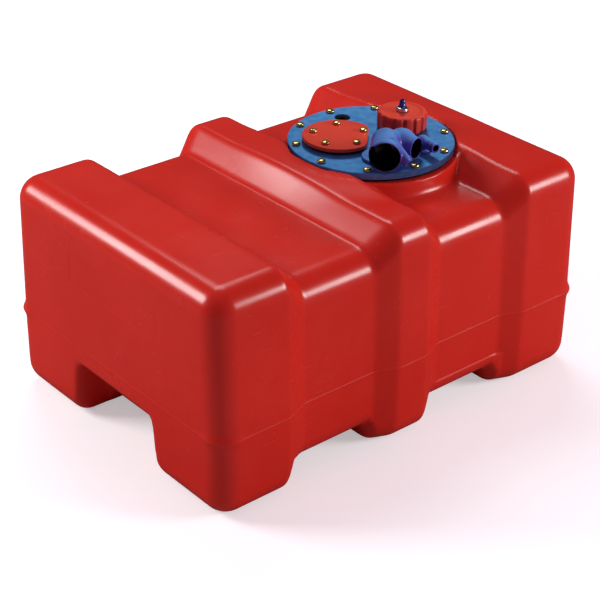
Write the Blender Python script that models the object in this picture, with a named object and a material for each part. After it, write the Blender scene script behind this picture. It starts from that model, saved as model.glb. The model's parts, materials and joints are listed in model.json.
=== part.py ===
"""Moulded plastic fuel tank with a round fitting flange.

Metres, +Z up.  Origin: middle of the tank, on the surface it stands on.
+X runs along the length, towards the end that carries the flange.
"""
import math

import bmesh
import bpy
from mathutils import Matrix, Vector

MM = 0.001
GAP = 0.3                      # clearance between touching pieces

# ---- tank shell ---------------------------------------------------------
HALF_L, HALF_W, HEIGHT = 250.0, 179.0, 248.0
EDGE_R = 26.0                  # moulded radius of every outer edge
WALL = 5.0
DRAFT = 4.6                    # the upper half narrows by this much per side
PART_Z, BEAD = 92.0, 2.6       # parting line of the mould and its flash bead
CHANNEL_Z = 223.0              # floor of the strap channels on top
RECESS = 11.0                  # the channels run down the long sides
UNDER_Z = 21.0                 # underside between the feet
FOOT_Y = 64.0                  # inner wall of the feet
POCKET_Z, POCKET_D = 70.0, 34.0  # hand hold in each end
# strap channels: (start of slope, start of floor, end of floor, end of slope)
CHANNELS = ((-163.0, -137.0, -45.0, -20.0), (20.0, 43.0, 137.0, 163.0))
UNDER = ((-164.0, -154.0, -50.0, -40.0), (22.0, 32.0, 130.0, 140.0))

# ---- flange -------------------------------------------------------------
FX, FY = 97.0, 0.0             # centre of the flange
BOSS_Z = 243.0                 # sealing land of the tank
FLANGE_R, FLANGE_LO, FLANGE_HI = 90.5, 245.3, 252.5
OPEN_R = 72.0                  # opening in the tank
SCREW_PCR, SCREW_N, SCREW_A0 = 83.0, 10, 9.0
COVER = (65.4, 16.5)           # sender cover
COVER_R, COVER_FLAT, COVER_PCR = 40.0, 31.0, 28.5
COVER_LO, COVER_HI = 256.4, 260.2
CAP = (143.0, 1.0)             # pick-up cap
CAP_R, CAP_LO, CAP_HI = 27.5, 254.2, 273.0
NECK_R, NECK_BORE, NECK_HI = 22.0, 16.0, 265.5
PORT = (111.0, 62.5)           # blanked spare port
PORT_R = 8.6
FILL = (70.5, -44.2)           # filler elbow
FILL_Z, FILL_R, FILL_BORE = 271.0, 17.1, 15.9
FILL_MOUTH = (47.3, -74.6)
VENT_A, VENT_B = (61.5, -67.2, 283.6), (66.0, -91.0, 264.5)
VENT_R, VENT_BORE = 5.6, 3.9
BREATH, BREATH_MOUTH = (93.7, -52.5), (97.4, -67.4)   # breather outlet on the filler moulding
BREATH_Z, BREATH_R, BREATH_BORE, KNOB_R = 264.5, 11.2, 9.9, 14.5
RET = (118.6, -57.5)           # return elbow
RET_Z, RET_R, RET_BORE = 263.5, 5.4, 3.6
RET_MOUTH = (111.7, -79.3)

RED = (0.46, 0.022, 0.012)
BLUE = (0.045, 0.19, 0.50)
PURPLE = (0.045, 0.045, 0.33)
BRASS = (0.78, 0.60, 0.22)
STEEL = (0.62, 0.62, 0.60)
BLACK = (0.012, 0.012, 0.013)

for ob in list(bpy.data.objects):
    bpy.data.objects.remove(ob, do_unlink=True)

_mats = {}


def material(name, rgb, rough, metal=0.0):
    if name not in _mats:
        m = bpy.data.materials.new(name)
        m.use_nodes = True
        b = m.node_tree.nodes["Principled BSDF"]
        b.inputs["Base Color"].default_value = (*rgb, 1.0)
        b.inputs["Roughness"].default_value = rough
        b.inputs["Metallic"].default_value = metal
        _mats[name] = m
    return _mats[name]


def new_object(name, bm, mat=None, loc=(0, 0, 0), smooth=True, flip_check=True):
    if flip_check:
        bmesh.ops.recalc_face_normals(bm, faces=bm.faces)
    me = bpy.data.meshes.new(name)
    bm.to_mesh(me)
    bm.free()
    if smooth:
        me.shade_smooth()
        me.set_sharp_from_angle(angle=math.radians(35))
    ob = bpy.data.objects.new(name, me)
    ob.location = [v * MM for v in loc]
    bpy.context.scene.collection.objects.link(ob)
    if mat:
        me.materials.append(mat)
    return ob


def as_cutter(ob):
    ob.hide_render = True
    ob.display_type = 'WIRE'
    return ob


def boolean(target, other, op='DIFFERENCE'):
    as_cutter(other)
    m = target.modifiers.new(op.lower(), 'BOOLEAN')
    m.object = other
    m.operation = op
    m.solver = 'EXACT'


def lathe(profile, n, closed=False, bm=None, start=0.0):
    """Turn (radius, z) points, in mm, about Z."""
    bm = bm or bmesh.new()
    rings = []
    for r, z in profile:
        if r <= 1e-9:
            rings.append([bm.verts.new((0, 0, z * MM))])
        else:
            rings.append([bm.verts.new((r * MM * math.cos(start + 2 * math.pi * i / n),
                                        r * MM * math.sin(start + 2 * math.pi * i / n),
                                        z * MM)) for i in range(n)])
    pairs = list(zip(rings, rings[1:]))
    if closed:
        pairs.append((rings[-1], rings[0]))
    for a, b in pairs:
        for i in range(n):
            j = (i + 1) % n
            if len(a) == 1 and len(b) == 1:
                continue
            if len(a) == 1:
                bm.faces.new((a[0], b[j], b[i]))
            elif len(b) == 1:
                bm.faces.new((a[i], a[j], b[0]))
            else:
                bm.faces.new((a[i], a[j], b[j], b[i]))
    return bm


def turned(name, profile, n, mat, loc=(0, 0, 0), closed=False, start=0.0):
    return new_object(name, lathe(profile, n, closed, start=start), mat, loc)


# ---- the tank's own shape ----------------------------------------------
def ramp(x, a, b):
    return min(1.0, max(0.0, (x - a) / (b - a)))


def band(x, channels):
    """1 on a raised band, 0 on the floor of a channel."""
    v = 1.0
    for a, b, c, d in channels:
        v = min(v, max(1.0 - ramp(x, a, b), ramp(x, c, d)))
    return v


def tank_solid(name, t):
    """The moulded body, offset inwards by t mm; t = 0 is the outside."""
    outside = t == 0.0
    r0 = EDGE_R - t
    half_l = HALF_L - t
    arc = [0.0, 0.25, 0.5, 0.75, 1.0] if outside else [0.0, 0.4, 0.75, 1.0]
    stations = []
    for q in arc:                               # q = 0 at the end face
        a = q * math.pi / 2
        stations.append((r0 * (1 - math.cos(a)), r0 * (1 - math.sin(a))))
    # stations: (distance along X from the end plane, inset of the ring)
    knots = set()
    for ch in CHANNELS + UNDER:
        knots.update(ch)
    for s in (-1, 1):
        knots.update((s * (HALF_L - POCKET_D - t), s * (HALF_L - POCKET_D - t - 9.0)))
    inner = sorted(k for k in knots if abs(k) < half_l - r0 - 0.5)
    merged = []
    for k in inner:
        if not merged or k - merged[-1] > 1.6:
            merged.append(k)
    rows = [(-half_l + d, ins, -1) for d, ins in stations] + [(k, 0.0, 0) for k in merged] + \
           [(half_l - d, ins, 1) for d, ins in reversed(stations)]

    bm = bmesh.new()
    rings = []
    for x, ins, side in rows:
        up = band(x, CHANNELS)
        feet = band(x, UNDER)
        yh = HALF_W - RECESS * (1 - up) - t
        zt = CHANNEL_Z + (HEIGHT - CHANNEL_Z) * up - t
        zb = UNDER_Z * (1 - feet) + t
        in_pocket = 1.0 - ramp(HALF_L - abs(x), POCKET_D + t, POCKET_D + t + 9.0)
        zc = UNDER_Z + (POCKET_Z - UNDER_Z) * in_pocket + t
        yc = FOOT_Y + t
        rr = r0 - ins                           # corner radius of this ring
        # normal of the rounded end, for the bead
        nx = math.sqrt(max(0.0, 1 - (rr / r0) ** 2)) * side if side else 0.0
        ny = rr / r0 if side else 1.0
        ins_c = min(ins, 9.0)                   # the hand hold has a smaller edge radius
        half = [(0.0, zt - ins, 0.0)]
        steps = (0, 30, 60, 90) if outside else (0, 45, 90)
        for d in steps:
            a = math.radians(d)
            half.append((yh - r0 + rr * math.sin(a) - DRAFT, zt - r0 + rr * math.cos(a), 0.0))
        zz = [PART_Z + 7.0, PART_Z + 2.4, PART_Z - 2.4, PART_Z - 7.0] if outside else [PART_Z]
        for z in zz:
            out = BEAD if outside and abs(z - PART_Z) < 3 else 0.0
            dr = DRAFT * max(0.0, z - PART_Z) / (HEIGHT - 26 - PART_Z)
            half.append((yh - ins - dr + out * ny, z, out * nx))
        for d in steps:
            a = math.radians(d)
            half.append((yh - r0 + rr * math.cos(a), zb + r0 - rr * math.sin(a), 0.0))
        foot_h = max(0.0, zc - zb)
        wall_y = 8.0
        half.append((yc + wall_y + ins_c, zb + ins, 0.0))
        half.append((yc + ins_c, max(zc + ins_c, zb + ins), 0.0))
        half.append((0.0, max(zc + ins_c, zb + ins), 0.0))
        ring = [bm.verts.new(((x + dx) * MM, y * MM, z * MM)) for y, z, dx in half]
        ring += [bm.verts.new(((x + dx) * MM, -y * MM, z * MM)) for y, z, dx in reversed(half[1:-1])]
        rings.append(ring)
    n = len(rings[0])
    h = n // 2                                   # index of the underside's middle point
    for a, b in zip(rings, rings[1:]):
        for i in range(n):
            j = (i + 1) % n
            bm.faces.new((a[i], a[j], b[j], b[i]))
    # end faces: above the bead, the bead itself, below the bead
    k0 = 1 + len(steps)
    nb = len(zz)
    for ring, rev in ((rings[0], False), (rings[-1], True)):
        mirror = [0] + [n - i for i in range(1, h)] + [h]
        loops = []
        loops.append([ring[i] for i in range(0, k0 + 1)] + [ring[mirror[i]] for i in range(k0, 0, -1)])
        for k in range(k0, k0 + nb - 1):
            loops.append([ring[k], ring[k + 1], ring[mirror[k + 1]], ring[mirror[k]]])
        k = k0 + nb - 1
        loops.append([ring[i] for i in range(k, h + 1)] + [ring[mirror[i]] for i in range(h - 1, k - 1, -1)])
        for lp in loops:
            bm.faces.new(lp if rev else list(reversed(lp)))
    return new_object(name, bm, material("tank_red", RED, 0.38) if outside else None, smooth=False)


shell = tank_solid("tank_shell", 0.0)
cavity = tank_solid("cut_cavity", WALL)
boss = turned("add_boss", [(0, 200), (104, 200), (104, 224), (99, 228), (95.5, 237), (95.5, BOSS_Z), (0, BOSS_Z)], 64,
              None, (FX, FY, 0))
inner_boss = turned("cut_inner_boss", [(0, 205), (98.5, 205), (98.5, 218), (93.5, 224), (90.5, 231), (90.5, BOSS_Z - 5.5),
                                       (0, BOSS_Z - 5.5)], 64, None, (FX, FY, 0))
relief = turned("cut_relief", [(0, BOSS_Z), (94.0, BOSS_Z), (94.0, 262), (0, 262)], 64, None, (FX, FY, 0))
opening = turned("cut_opening", [(0, 220), (OPEN_R, 220), (OPEN_R, 270), (0, 270)], 64, None, (FX, FY, 0))
boolean(shell, boss, 'UNION')
boolean(shell, relief)
boolean(cavity, inner_boss, 'UNION')
boolean(shell, cavity)
boolean(shell, opening)


def ring_points(n, r, a0, c=(FX, FY)):
    return [(c[0] + r * math.cos(math.radians(a0 + 360.0 * k / n)),
             c[1] + r * math.sin(math.radians(a0 + 360.0 * k / n))) for k in range(n)]


def hole_set(name, points, r, z0, z1, n=10):
    """One cutter made of equal round holes."""
    bm = bmesh.new()
    for x, y in points:
        lo = [bm.verts.new(((x + r * math.cos(2 * math.pi * i / n)) * MM,
                            (y + r * math.sin(2 * math.pi * i / n)) * MM, z0 * MM)) for i in range(n)]
        hi = [bm.verts.new((v.co.x, v.co.y, z1 * MM)) for v in lo]
        bm.faces.new(list(reversed(lo)))
        bm.faces.new(hi)
        for i in range(n):
            j = (i + 1) % n
            bm.faces.new((lo[i], lo[j], hi[j], hi[i]))
    return new_object(name, bm, smooth=False)


SCREWS = ring_points(SCREW_N, SCREW_PCR, SCREW_A0)
COVER_SCREWS = ring_points(5, COVER_PCR, 54.0, COVER)
boolean(shell, hole_set("cut_tank_screws", SCREWS, 3.3, 236, 250))

# ---- flange group -------------------------------------------------------
gasket = turned("flange_gasket", [(OPEN_R + 1, BOSS_Z + GAP), (89.5, BOSS_Z + GAP), (89.5, FLANGE_LO - GAP),
                                  (OPEN_R + 1, FLANGE_LO - GAP)], 48, material("rubber", BLACK, 0.7), (FX, FY, 0), True)
boolean(gasket, hole_set("cut_gasket_screws", SCREWS, 3.2, 242, 247))

plate = turned("flange_plate", [(0, FLANGE_LO), (89.6, FLANGE_LO), (FLANGE_R, FLANGE_LO + 1), (FLANGE_R, FLANGE_HI - 1.2),
                                (89.3, FLANGE_HI), (0, FLANGE_HI)], 80, material("flange_blue", BLUE, 0.42), (FX, FY, 0))
neck = turned("add_neck", [(0, FLANGE_LO + 2), (NECK_R + 1.2, FLANGE_LO + 2), (NECK_R + 1.2, FLANGE_HI + 0.8),
                           (NECK_R, FLANGE_HI + 1.6), (NECK_R, NECK_HI - 0.6), (NECK_R - 0.8, NECK_HI), (0, NECK_HI)],
              36, None, (*CAP, 0))
boolean(plate, neck, 'UNION')
boolean(plate, turned("cut_neck_bore", [(0, 230), (NECK_BORE, 230), (NECK_BORE, 280), (0, 280)], 32, None, (*CAP, 0)))
boolean(plate, turned("cut_sender_hole", [(0, 230), (22, 230), (22, 280), (0, 280)], 28, None, (*COVER, 0)))
boolean(plate, turned("cut_port", [(0, 230), (5.5, 230), (5.5, 248.0), (PORT_R, 248.0), (PORT_R, 280), (0, 280)], 20, None,
                      (*PORT, 0)))
boolean(plate, turned("cut_fill", [(0, 230), (15.3, 230), (15.3, 280), (0, 280)], 24, None, (*FILL, 0)))
boolean(plate, turned("cut_return", [(0, 230), (6.3, 230), (6.3, 280), (0, 280)], 16, None, (*RET, 0)))
boolean(plate, hole_set("cut_flange_screws", SCREWS, 3.0, 240, 260))
boolean(plate, hole_set("cut_cover_threads", COVER_SCREWS, 2.4, 240, 260, 8))

# backing ring: C-shaped, so that it goes in through the opening
ring = turned("backing_ring", [(74.5, 232.5), (88.5, 232.5), (88.5, BOSS_Z - 5.5 - GAP), (74.5, BOSS_Z - 5.5 - GAP)], 48,
              material("steel", STEEL, 0.4, 1.0), (FX, FY, 0), True)
bm = bmesh.new()
bmesh.ops.create_cube(bm, size=1.0)
bmesh.ops.scale(bm, vec=Vector((30, 7, 20)) * MM, verts=bm.verts)
bmesh.ops.rotate(bm, matrix=Matrix.Rotation(math.radians(27), 3, 'Z'), verts=bm.verts)
bmesh.ops.translate(bm, verts=bm.verts, vec=Vector((FX + 82 * math.cos(math.radians(27)), 82 * math.sin(math.radians(27)), 235)) * MM)
boolean(ring, new_object("cut_ring_gap", bm, smooth=False))
boolean(ring, hole_set("cut_ring_screws", SCREWS, 2.85, 228, 240))


def screw_mesh(head_r, head_h, shank_r, length):
    """Pan head with a straight slot, standing on z = 0."""
    bm = bmesh.new()
    bm = lathe([(0, -length), (shank_r * 0.7, -length), (shank_r, -length + 1.5), (shank_r, 0), (head_r, 0),
                (head_r, head_h * 0.45), (head_r * 0.72, head_h * 0.92), (head_r * 0.3, head_h), (0, head_h)], 12, bm=bm)
    bmesh.ops.recalc_face_normals(bm, faces=bm.faces)
    me = bpy.data.meshes.new("screw")
    bm.to_mesh(me)
    bm.free()
    me.shade_smooth()
    me.set_sharp_from_angle(angle=math.radians(35))
    return me


def slot_cutter(name, w, head_h):
    bm = bmesh.new()
    bmesh.ops.create_cube(bm, size=1.0)
    bmesh.ops.scale(bm, vec=Vector((30, w, 3.0)) * MM, verts=bm.verts)
    bmesh.ops.translate(bm, vec=Vector((0, 0, head_h + 0.1)) * MM, verts=bm.verts)
    return as_cutter(new_object(name, bm, smooth=False))


brass = material("brass", BRASS, 0.3, 1.0)
big = screw_mesh(4.7, 3.4, 2.45, 21.0)
big.materials.append(brass)
small = screw_mesh(4.3, 3.0, 2.1, 10.5)
small.materials.append(brass)


def screws(prefix, points, z, mesh, w, head_h, digits):
    for k, (x, y) in enumerate(points):
        ob = bpy.data.objects.new(f"{prefix}_{k + 1:0{digits}d}", mesh)
        ob.location = (x * MM, y * MM, z * MM)
        ob.rotation_euler[2] = math.radians(37.0 * k)
        bpy.context.scene.collection.objects.link(ob)
        cut = slot_cutter(f"cut_slot_{prefix}_{k + 1}", w, head_h)
        cut.parent = ob
        boolean(ob, cut)


screws("flange_screw", SCREWS, FLANGE_HI + GAP, big, 1.3, 3.4, 2)

# ---- sender cover -------------------------------------------------------
FLAT_DIR = math.radians(-45.0)


def flat_sided_disc(name, r, flat, z0, z1, chamfer, hole, mat):
    """A disc with one straight side facing the filler elbow, and an optional middle hole."""
    a = math.acos(flat / r)
    n = 40
    pts = [FLAT_DIR + a + (2 * math.pi - 2 * a) * i / n for i in range(n + 1)]
    bm = bmesh.new()

    def loop(s, z):
        return [bm.verts.new(((COVER[0] + (r - s) * math.cos(t)) * MM, (COVER[1] + (r - s) * math.sin(t)) * MM, z * MM))
                for t in pts]
    lo, mid, hi = loop(0, z0), loop(0, z1 - chamfer), loop(chamfer, z1)
    m = len(lo)
    for p, q in ((lo, mid), (mid, hi)):
        for i in range(m):
            j = (i + 1) % m
            bm.faces.new((p[i], p[j], q[j], q[i]))
    bm.faces.new(list(reversed(lo)))
    bm.faces.new(hi)
    ob = new_object(name, bm, mat)
    if hole:
        boolean(ob, turned("cut_middle_" + name, [(0, z0 - 5), (hole, z0 - 5), (hole, z1 + 5), (0, z1 + 5)], 24, None,
                           (*COVER, 0)))
    boolean(ob, hole_set("cut_screws_" + name, COVER_SCREWS, 2.5, z0 - 5, z1 + 5, 8))
    return ob


flat_sided_disc("sender_cover_gasket", 37.0, 28.8, FLANGE_HI + GAP, COVER_LO - GAP, 0.2, 21.5, material("rubber", BLACK, 0.7))
flat_sided_disc("sender_cover", COVER_R, COVER_FLAT, COVER_LO, COVER_HI, 0.9, 0.0, material("cap_red", RED, 0.36))
screws("cover_screw", COVER_SCREWS, COVER_HI + GAP, small, 1.2, 3.0, 1)

# ---- pick-up ------------------------------------------------------------
# cap nut: a skirt with fifteen finger grooves, screwed on the neck
GROOVES = 15


def cap_loop(bm, r, z, depth):
    out = []
    n = GROOVES * 6
    for i in range(n):
        t = 2 * math.pi * i / n
        ph = (i % 6) / 6.0
        d = depth * (0.0, 0.0, 0.0, 0.62, 1.0, 0.62)[i % 6]
        rr = r - d
        out.append(bm.verts.new((rr * math.cos(t) * MM, rr * math.sin(t) * MM, z * MM)))
    return out


bm = bmesh.new()
n = GROOVES * 6
outer = [cap_loop(bm, CAP_R - 0.8, CAP_LO, 2.3), cap_loop(bm, CAP_R, CAP_LO + 1.0, 2.3), cap_loop(bm, CAP_R, CAP_HI - 3.6, 2.0),
         cap_loop(bm, CAP_R - 0.7, CAP_HI - 1.2, 0.8), cap_loop(bm, CAP_R - 2.2, CAP_HI, 0.0)]


def plain_loop(r, z):
    return [bm.verts.new((r * math.cos(2 * math.pi * i / n) * MM, r * math.sin(2 * math.pi * i / n) * MM, z * MM))
            for i in range(n)]


inner = [plain_loop(5.2, CAP_HI), plain_loop(5.2, CAP_HI - 3.6), plain_loop(22.7, CAP_HI - 3.6), plain_loop(22.7, CAP_LO)]
loops = outer + inner
for p, q in zip(loops, loops[1:] + loops[:1]):
    for i in range(n):
        j = (i + 1) % n
        bm.faces.new((p[i], p[j], q[j], q[i]))
new_object("cap_nut", bm, material("cap_red", RED, 0.36), (*CAP, 0))

turned("cap_seal", [(NECK_BORE + 0.6, NECK_HI + GAP), (NECK_R - 1.2, NECK_HI + GAP), (NECK_R - 1.2, NECK_HI + 1.5),
                    (NECK_BORE + 0.6, NECK_HI + 1.5)], 24, material("rubber", BLACK, 0.7), (*CAP, 0), True)
turned("pickup_nipple", [(2.0, 230), (4.4, 230), (4.4, 246), (13.5, 247.5), (13.5, NECK_HI + 1.8), (21.4, NECK_HI + 1.8),
                         (21.4, CAP_HI - 3.9), (4.6, CAP_HI - 3.9), (4.6, CAP_HI + 3.2), (3.3, CAP_HI + 4.6),
                         (3.3, CAP_HI + 7.0), (3.9, CAP_HI + 8.0), (3.0, CAP_HI + 10.6), (3.6, CAP_HI + 11.6),
                         (2.7, CAP_HI + 15.0), (2.0, CAP_HI + 15.0)], 24, material("nipple_navy", (0.02, 0.02, 0.14), 0.35),
       (*CAP, 0), True)
turned("nipple_collar", [(4.9, CAP_HI + GAP), (7.0, CAP_HI + GAP), (7.0, CAP_HI + 2.6), (6.2, CAP_HI + 3.8), (4.9, CAP_HI + 4.0)],
       18, material("steel", STEEL, 0.4, 1.0), (*CAP, 0), True)
turned("pickup_tube", [(3.4, 44), (5.0, 44), (5.0, 229.7), (3.4, 229.7)], 16, material("tube_white", (0.75, 0.75, 0.7), 0.4),
       (*CAP, 0), True)
turned("pickup_strainer", [(0, 31), (8.0, 31), (9.0, 32.5), (9.0, 43.7 + 14), (5.3, 43.7 + 16), (5.3, 41), (0, 41)], 20,
       material("strainer_grey", (0.25, 0.25, 0.26), 0.6), (*CAP, 0))

# ---- spare port plug ----------------------------------------------------
turned("spare_port_plug", [(0, 249.2), (3.2, 249.2), (3.2, 251.2), (8.2, 251.2), (8.2, 248.3), (5.1, 248.3), (5.1, 238),
                           (0, 238)][::-1], 18, material("plug_black", BLACK, 0.5), (*PORT, 0))

# ---- filler elbow with its breather outlet and thin vent branch ---------
def dome(r, z, n=6):
    """Profile points of a dome of radius r standing on height z."""
    return [(r * math.cos(math.pi / 2 * k / n), z + r * math.sin(math.pi / 2 * k / n)) for k in range(n)] + [(0, z + r)]


def along(name, a, b, profile, n):
    """A (radius, distance) profile turned about the line from a to b."""
    a, b = Vector(a), Vector(b)
    bm = lathe(profile, n)
    q = Vector((0, 0, 1)).rotation_difference((b - a).normalized())
    bmesh.ops.transform(bm, matrix=Matrix.Translation(a * MM) @ q.to_matrix().to_4x4(), verts=bm.verts)
    return new_object(name, bm)


mouth = Vector((*FILL_MOUTH, FILL_Z))
knee = Vector((*FILL, FILL_Z))
fl = (mouth - knee).length
elbow = turned("filler_elbow", [(0, 231.0), (15.0, 231.0), (15.0, FLANGE_HI + GAP), (20.5, FLANGE_HI + GAP),
                                (20.5, FLANGE_HI + 3.2), (FILL_R + 0.8, FLANGE_HI + 4.6)] + dome(FILL_R + 0.8, FILL_Z), 28,
               material("elbow_purple", PURPLE, 0.36), (*FILL, 0))
boolean(elbow, along("add_fill_pipe", knee, mouth, [(0, 0), (FILL_R - 0.3, 0), (FILL_R - 0.3, fl - 6.0), (FILL_R + 0.5, fl - 4.0),
                                                    (FILL_R + 0.5, fl - 1.6), (FILL_R - 0.4, fl), (0, fl)], 28), 'UNION')
va, vb = Vector(VENT_A), Vector(VENT_B)
vl = (vb - va).length
boolean(elbow, along("add_vent_pipe", va, vb, [(0, -VENT_R), (VENT_R * 0.7, -VENT_R * 0.7), (VENT_R, 0), (VENT_R, vl), (0, vl)], 16),
        'UNION')
ba, bb = Vector((*BREATH, BREATH_Z)), Vector((*BREATH_MOUTH, BREATH_Z))
bl = (bb - ba).length
boolean(elbow, turned("add_breather_leg", [(0, 253.6), (KNOB_R, 253.6)] + dome(KNOB_R, BREATH_Z + 2.5), 26, None, (*BREATH, 0)), 'UNION')
boolean(elbow, along("add_breather_pipe", ba, bb, [(0, 1.0), (BREATH_R, 1.0), (BREATH_R, bl - 0.8), (BREATH_R - 0.6, bl), (0, bl)], 24),
        'UNION')
boolean(elbow, turned("cut_fill_down", [(0, 225), (12.2, 225)] + dome(12.2, FILL_Z + 1.0), 22, None, (*FILL, 0)))
boolean(elbow, along("cut_fill_pipe", knee, mouth, [(0, -3), (FILL_BORE - 0.9, -3), (FILL_BORE - 0.9, fl - 9), (FILL_BORE, fl - 7),
                                                    (FILL_BORE, fl + 8), (0, fl + 8)], 26))
boolean(elbow, along("cut_vent", va, vb, [(0, 0), (VENT_BORE, 0), (VENT_BORE, vl + 8), (0, vl + 8)], 12))
boolean(elbow, along("cut_breather", ba, bb, [(0, -4), (6.0, -4), (BREATH_BORE - 0.8, 0), (BREATH_BORE - 0.8, bl - 5),
                                              (BREATH_BORE, bl - 4), (BREATH_BORE, bl + 8), (0, bl + 8)], 22))
boolean(elbow, along("cut_breather_link", ba, Vector((*FILL, BREATH_Z)), [(0, 0), (7.4, 0), (7.4, 15), (0, 15)], 16))
turned("filler_elbow_seal", [(15.5, FLANGE_LO - 2.4), (18.0, FLANGE_LO - 2.4), (18.0, FLANGE_LO - GAP), (15.5, FLANGE_LO - GAP)],
       24, material("rubber", BLACK, 0.7), (*FILL, 0), True)
turned("filler_lock_nut", [(15.5, 234.5), (17.8, 234.5), (17.8, FLANGE_LO - 2.7), (15.5, FLANGE_LO - 2.7)], 24,
       material("nut_black", BLACK, 0.5), (*FILL, 0), True)

# ---- return elbow -------------------------------------------------------
rm, rk = Vector((*RET_MOUTH, RET_Z)), Vector((*RET, RET_Z))
rl = (rm - rk).length
ret = turned("return_elbow", [(0, 226.0), (6.0, 226.0), (6.0, FLANGE_HI + GAP), (9.0, FLANGE_HI + GAP), (9.0, FLANGE_HI + 2.4),
                              (RET_R + 1.0, FLANGE_HI + 3.6)] + dome(RET_R + 1.0, RET_Z, 4), 20,
             material("elbow_purple", PURPLE, 0.36), (*RET, 0))
boolean(ret, along("add_ret_pipe", rk, rm, [(0, 0), (RET_R, 0), (RET_R, rl - 5), (RET_R + 0.8, rl - 3.4), (RET_R + 0.8, rl - 1.8),
                                            (RET_R - 0.4, rl), (0, rl)], 18), 'UNION')
boolean(ret, turned("cut_ret_down", [(0, 220), (RET_BORE, 220)] + dome(RET_BORE, RET_Z + 1.0, 3), 14, None, (*RET, 0)))
boolean(ret, along("cut_ret_pipe", rk, rm, [(0, -1), (RET_BORE - 0.3, -1), (RET_BORE - 0.3, rl + 8), (0, rl + 8)], 14))
turned("return_elbow_seal", [(6.4, FLANGE_LO - 2.2), (9.4, FLANGE_LO - 2.2), (9.4, FLANGE_LO - GAP), (6.4, FLANGE_LO - GAP)], 18,
       material("rubber", BLACK, 0.7), (*RET, 0), True)
turned("return_lock_nut", [(6.4, 237.5), (9.6, 237.5), (9.6, FLANGE_LO - 2.5), (6.4, FLANGE_LO - 2.5)], 18,
       material("nut_black", BLACK, 0.5), (*RET, 0), True)
turned("return_tube", [(6.3, 216), (7.8, 216), (7.8, 237.2), (6.3, 237.2), (6.3, 225.7), (4.2, 225.7), (4.2, 110), (6.0, 110),
                       (6.0, 216)][::-1], 16, material("tube_white", (0.75, 0.75, 0.7), 0.4), (*RET, 0), True)
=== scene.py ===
"""Looks of the moulded plastic fuel tank: fine surfaces, materials, light and camera."""
import json
import math

import bmesh
import bpy
import numpy as np
from mathutils import Matrix, Vector


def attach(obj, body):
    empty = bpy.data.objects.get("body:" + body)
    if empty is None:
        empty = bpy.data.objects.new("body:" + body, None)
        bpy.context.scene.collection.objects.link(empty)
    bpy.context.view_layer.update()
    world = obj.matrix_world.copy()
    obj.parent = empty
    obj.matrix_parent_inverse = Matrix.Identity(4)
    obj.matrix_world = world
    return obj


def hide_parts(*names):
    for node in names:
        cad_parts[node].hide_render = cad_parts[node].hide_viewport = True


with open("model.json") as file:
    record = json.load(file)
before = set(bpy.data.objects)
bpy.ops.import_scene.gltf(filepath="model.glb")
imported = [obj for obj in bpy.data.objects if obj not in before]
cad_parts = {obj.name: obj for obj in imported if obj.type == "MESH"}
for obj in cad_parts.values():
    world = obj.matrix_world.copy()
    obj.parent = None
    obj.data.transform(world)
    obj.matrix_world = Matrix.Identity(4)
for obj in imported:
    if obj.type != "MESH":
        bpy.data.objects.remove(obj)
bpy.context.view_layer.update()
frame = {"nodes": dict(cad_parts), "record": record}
NODES = frame["nodes"]
MM = 0.001
F = np.float32

# sizes in mm, the same as the construction's
HALF_L, HALF_W, HEIGHT, EDGE_R, WALL = 250.0, 179.0, 248.0, 26.0, 5.0
DRAFT, PART_Z, CHANNEL_Z, RECESS, UNDER_Z, FOOT_Y = 4.6, 92.0, 223.0, 11.0, 21.0, 64.0
POCKET_Z, POCKET_D = 70.0, 34.0
CHANNELS = ((-163.0, -137.0, -45.0, -20.0), (20.0, 43.0, 137.0, 163.0))
UNDER = ((-164.0, -154.0, -50.0, -40.0), (22.0, 32.0, 130.0, 140.0))
FX, FY, BOSS_Z, OPEN_R = 97.0, 0.0, 243.0, 72.0
FLANGE_R, FLANGE_LO, FLANGE_HI = 90.5, 245.3, 252.5


# ------------------------------------------------------------------ distance fields
def smax(a, b, k):
    """Larger of two distances, with a fillet about k wide where they meet."""
    h = np.maximum(k - np.abs(a - b), 0) / k
    return np.maximum(a, b) + h * h * h * k / 6


def smin(a, b, k):
    return -smax(-a, -b, k)


def step(v, a, b):
    t = np.clip((v - a) / (b - a), 0, 1)
    return t * t * (3 - 2 * t)


def profile(channels, width):
    """Raised-band profile along X, sampled and rounded at its corners."""
    xs = np.arange(-330.0, 330.0, 0.25)
    v = np.ones_like(xs)
    for a, b, c, d in channels:
        v = np.minimum(v, np.maximum(1 - np.clip((xs - a) / (b - a), 0, 1), np.clip((xs - c) / (d - c), 0, 1)))
    n = max(1, int(width / 0.25))
    k = np.ones(n) / n
    for _ in range(2):
        v = np.convolve(np.pad(v, n, mode="edge"), k, mode="same")[n:-n]
    return xs, v


UP = profile(CHANNELS, 6.0)
FEET = profile(UNDER, 5.0)


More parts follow.
